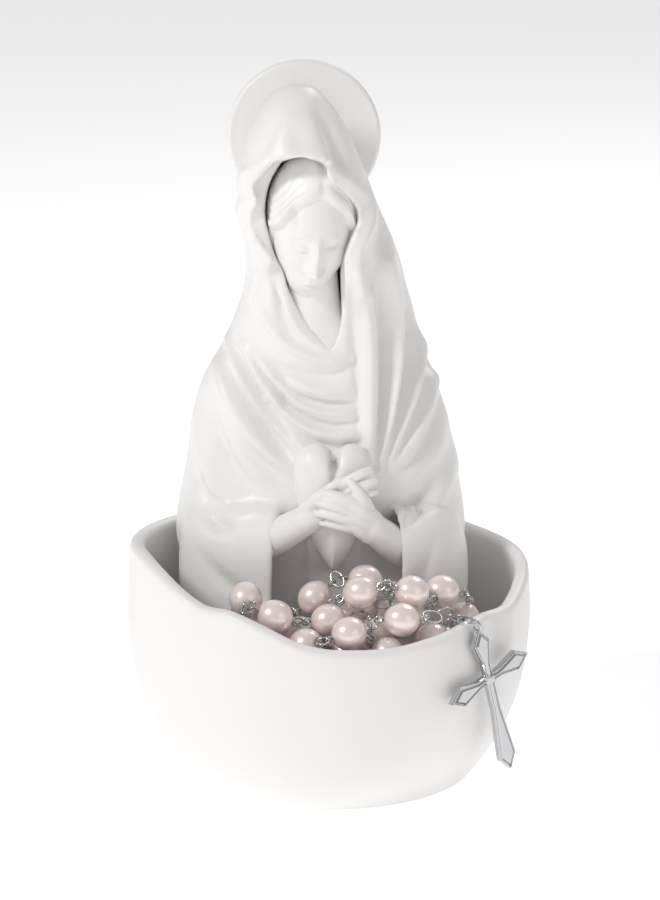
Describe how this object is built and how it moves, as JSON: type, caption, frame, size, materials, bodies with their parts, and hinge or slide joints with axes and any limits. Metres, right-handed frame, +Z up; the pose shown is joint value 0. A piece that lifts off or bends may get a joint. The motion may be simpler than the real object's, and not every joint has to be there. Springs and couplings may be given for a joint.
{
  "type": "madonna statue with rosary dish",
  "caption": "White porcelain half figure of a hooded woman with a halo and folded hands, rising from a round wavy-rimmed dish that holds a pearl rosary.",
  "frame": {"origin": "middle of the dish's underside, on the table", "axes": "+Z up, the figure faces -Y, +X to the right of someone looking at it"},
  "size_m": [0.1091, 0.1092, 0.1915],
  "materials": {
    "porcelain": "satin white, unglazed look",
    "felt": "matt felt",
    "pearl": "pale pink pearl lustre",
    "silver": "polished silver tone"
  },
  "bodies": {
    "statue": {"dish": "porcelain", "body": "porcelain", "neck": "porcelain", "mantle_drape": "porcelain", "hood": "porcelain", "head": "porcelain", "hair": "porcelain", "halo": "porcelain", "sleeve_right": "porcelain", "sleeve_left": "porcelain", "heart": "porcelain", "hand_left": "porcelain", "hand_right": "porcelain", "base_felt": "felt"},
    "rosary": {"pearls_decade_1": "pearl", "pearls_decade_2": "pearl", "pearls_decade_3": "pearl", "pearls_decade_4": "pearl", "pearls_decade_5": "pearl", "pearls_our_father": "pearl", "pearls_tail": "pearl", "bead_pins": "silver", "rings_small": "silver", "rings_big": "silver", "centre_medal": "silver"},
    "rim_ring": {"rim_ring": "silver"},
    "cross": {"cross": "silver"}
  },
  "joints": [
    {"name": "rosary_lift", "type": "slide", "parent": "statue", "child": "rosary", "axis": [0, 0, 1], "range_m": [0, 0.11]},
    {"name": "rim_ring_swing", "type": "hinge", "parent": "rosary", "child": "rim_ring", "pos_m": [0.03175, -0.03526, 0.0528], "axis": [-0.7431, -0.6691, 0], "range_deg": [0, 35]},
    {"name": "cross_swing", "type": "hinge", "parent": "rim_ring", "child": "cross", "pos_m": [0.03801, -0.04221, 0.0528], "axis": [0.6691, -0.7431, 0], "range_deg": [-35, 10]}
  ]
}
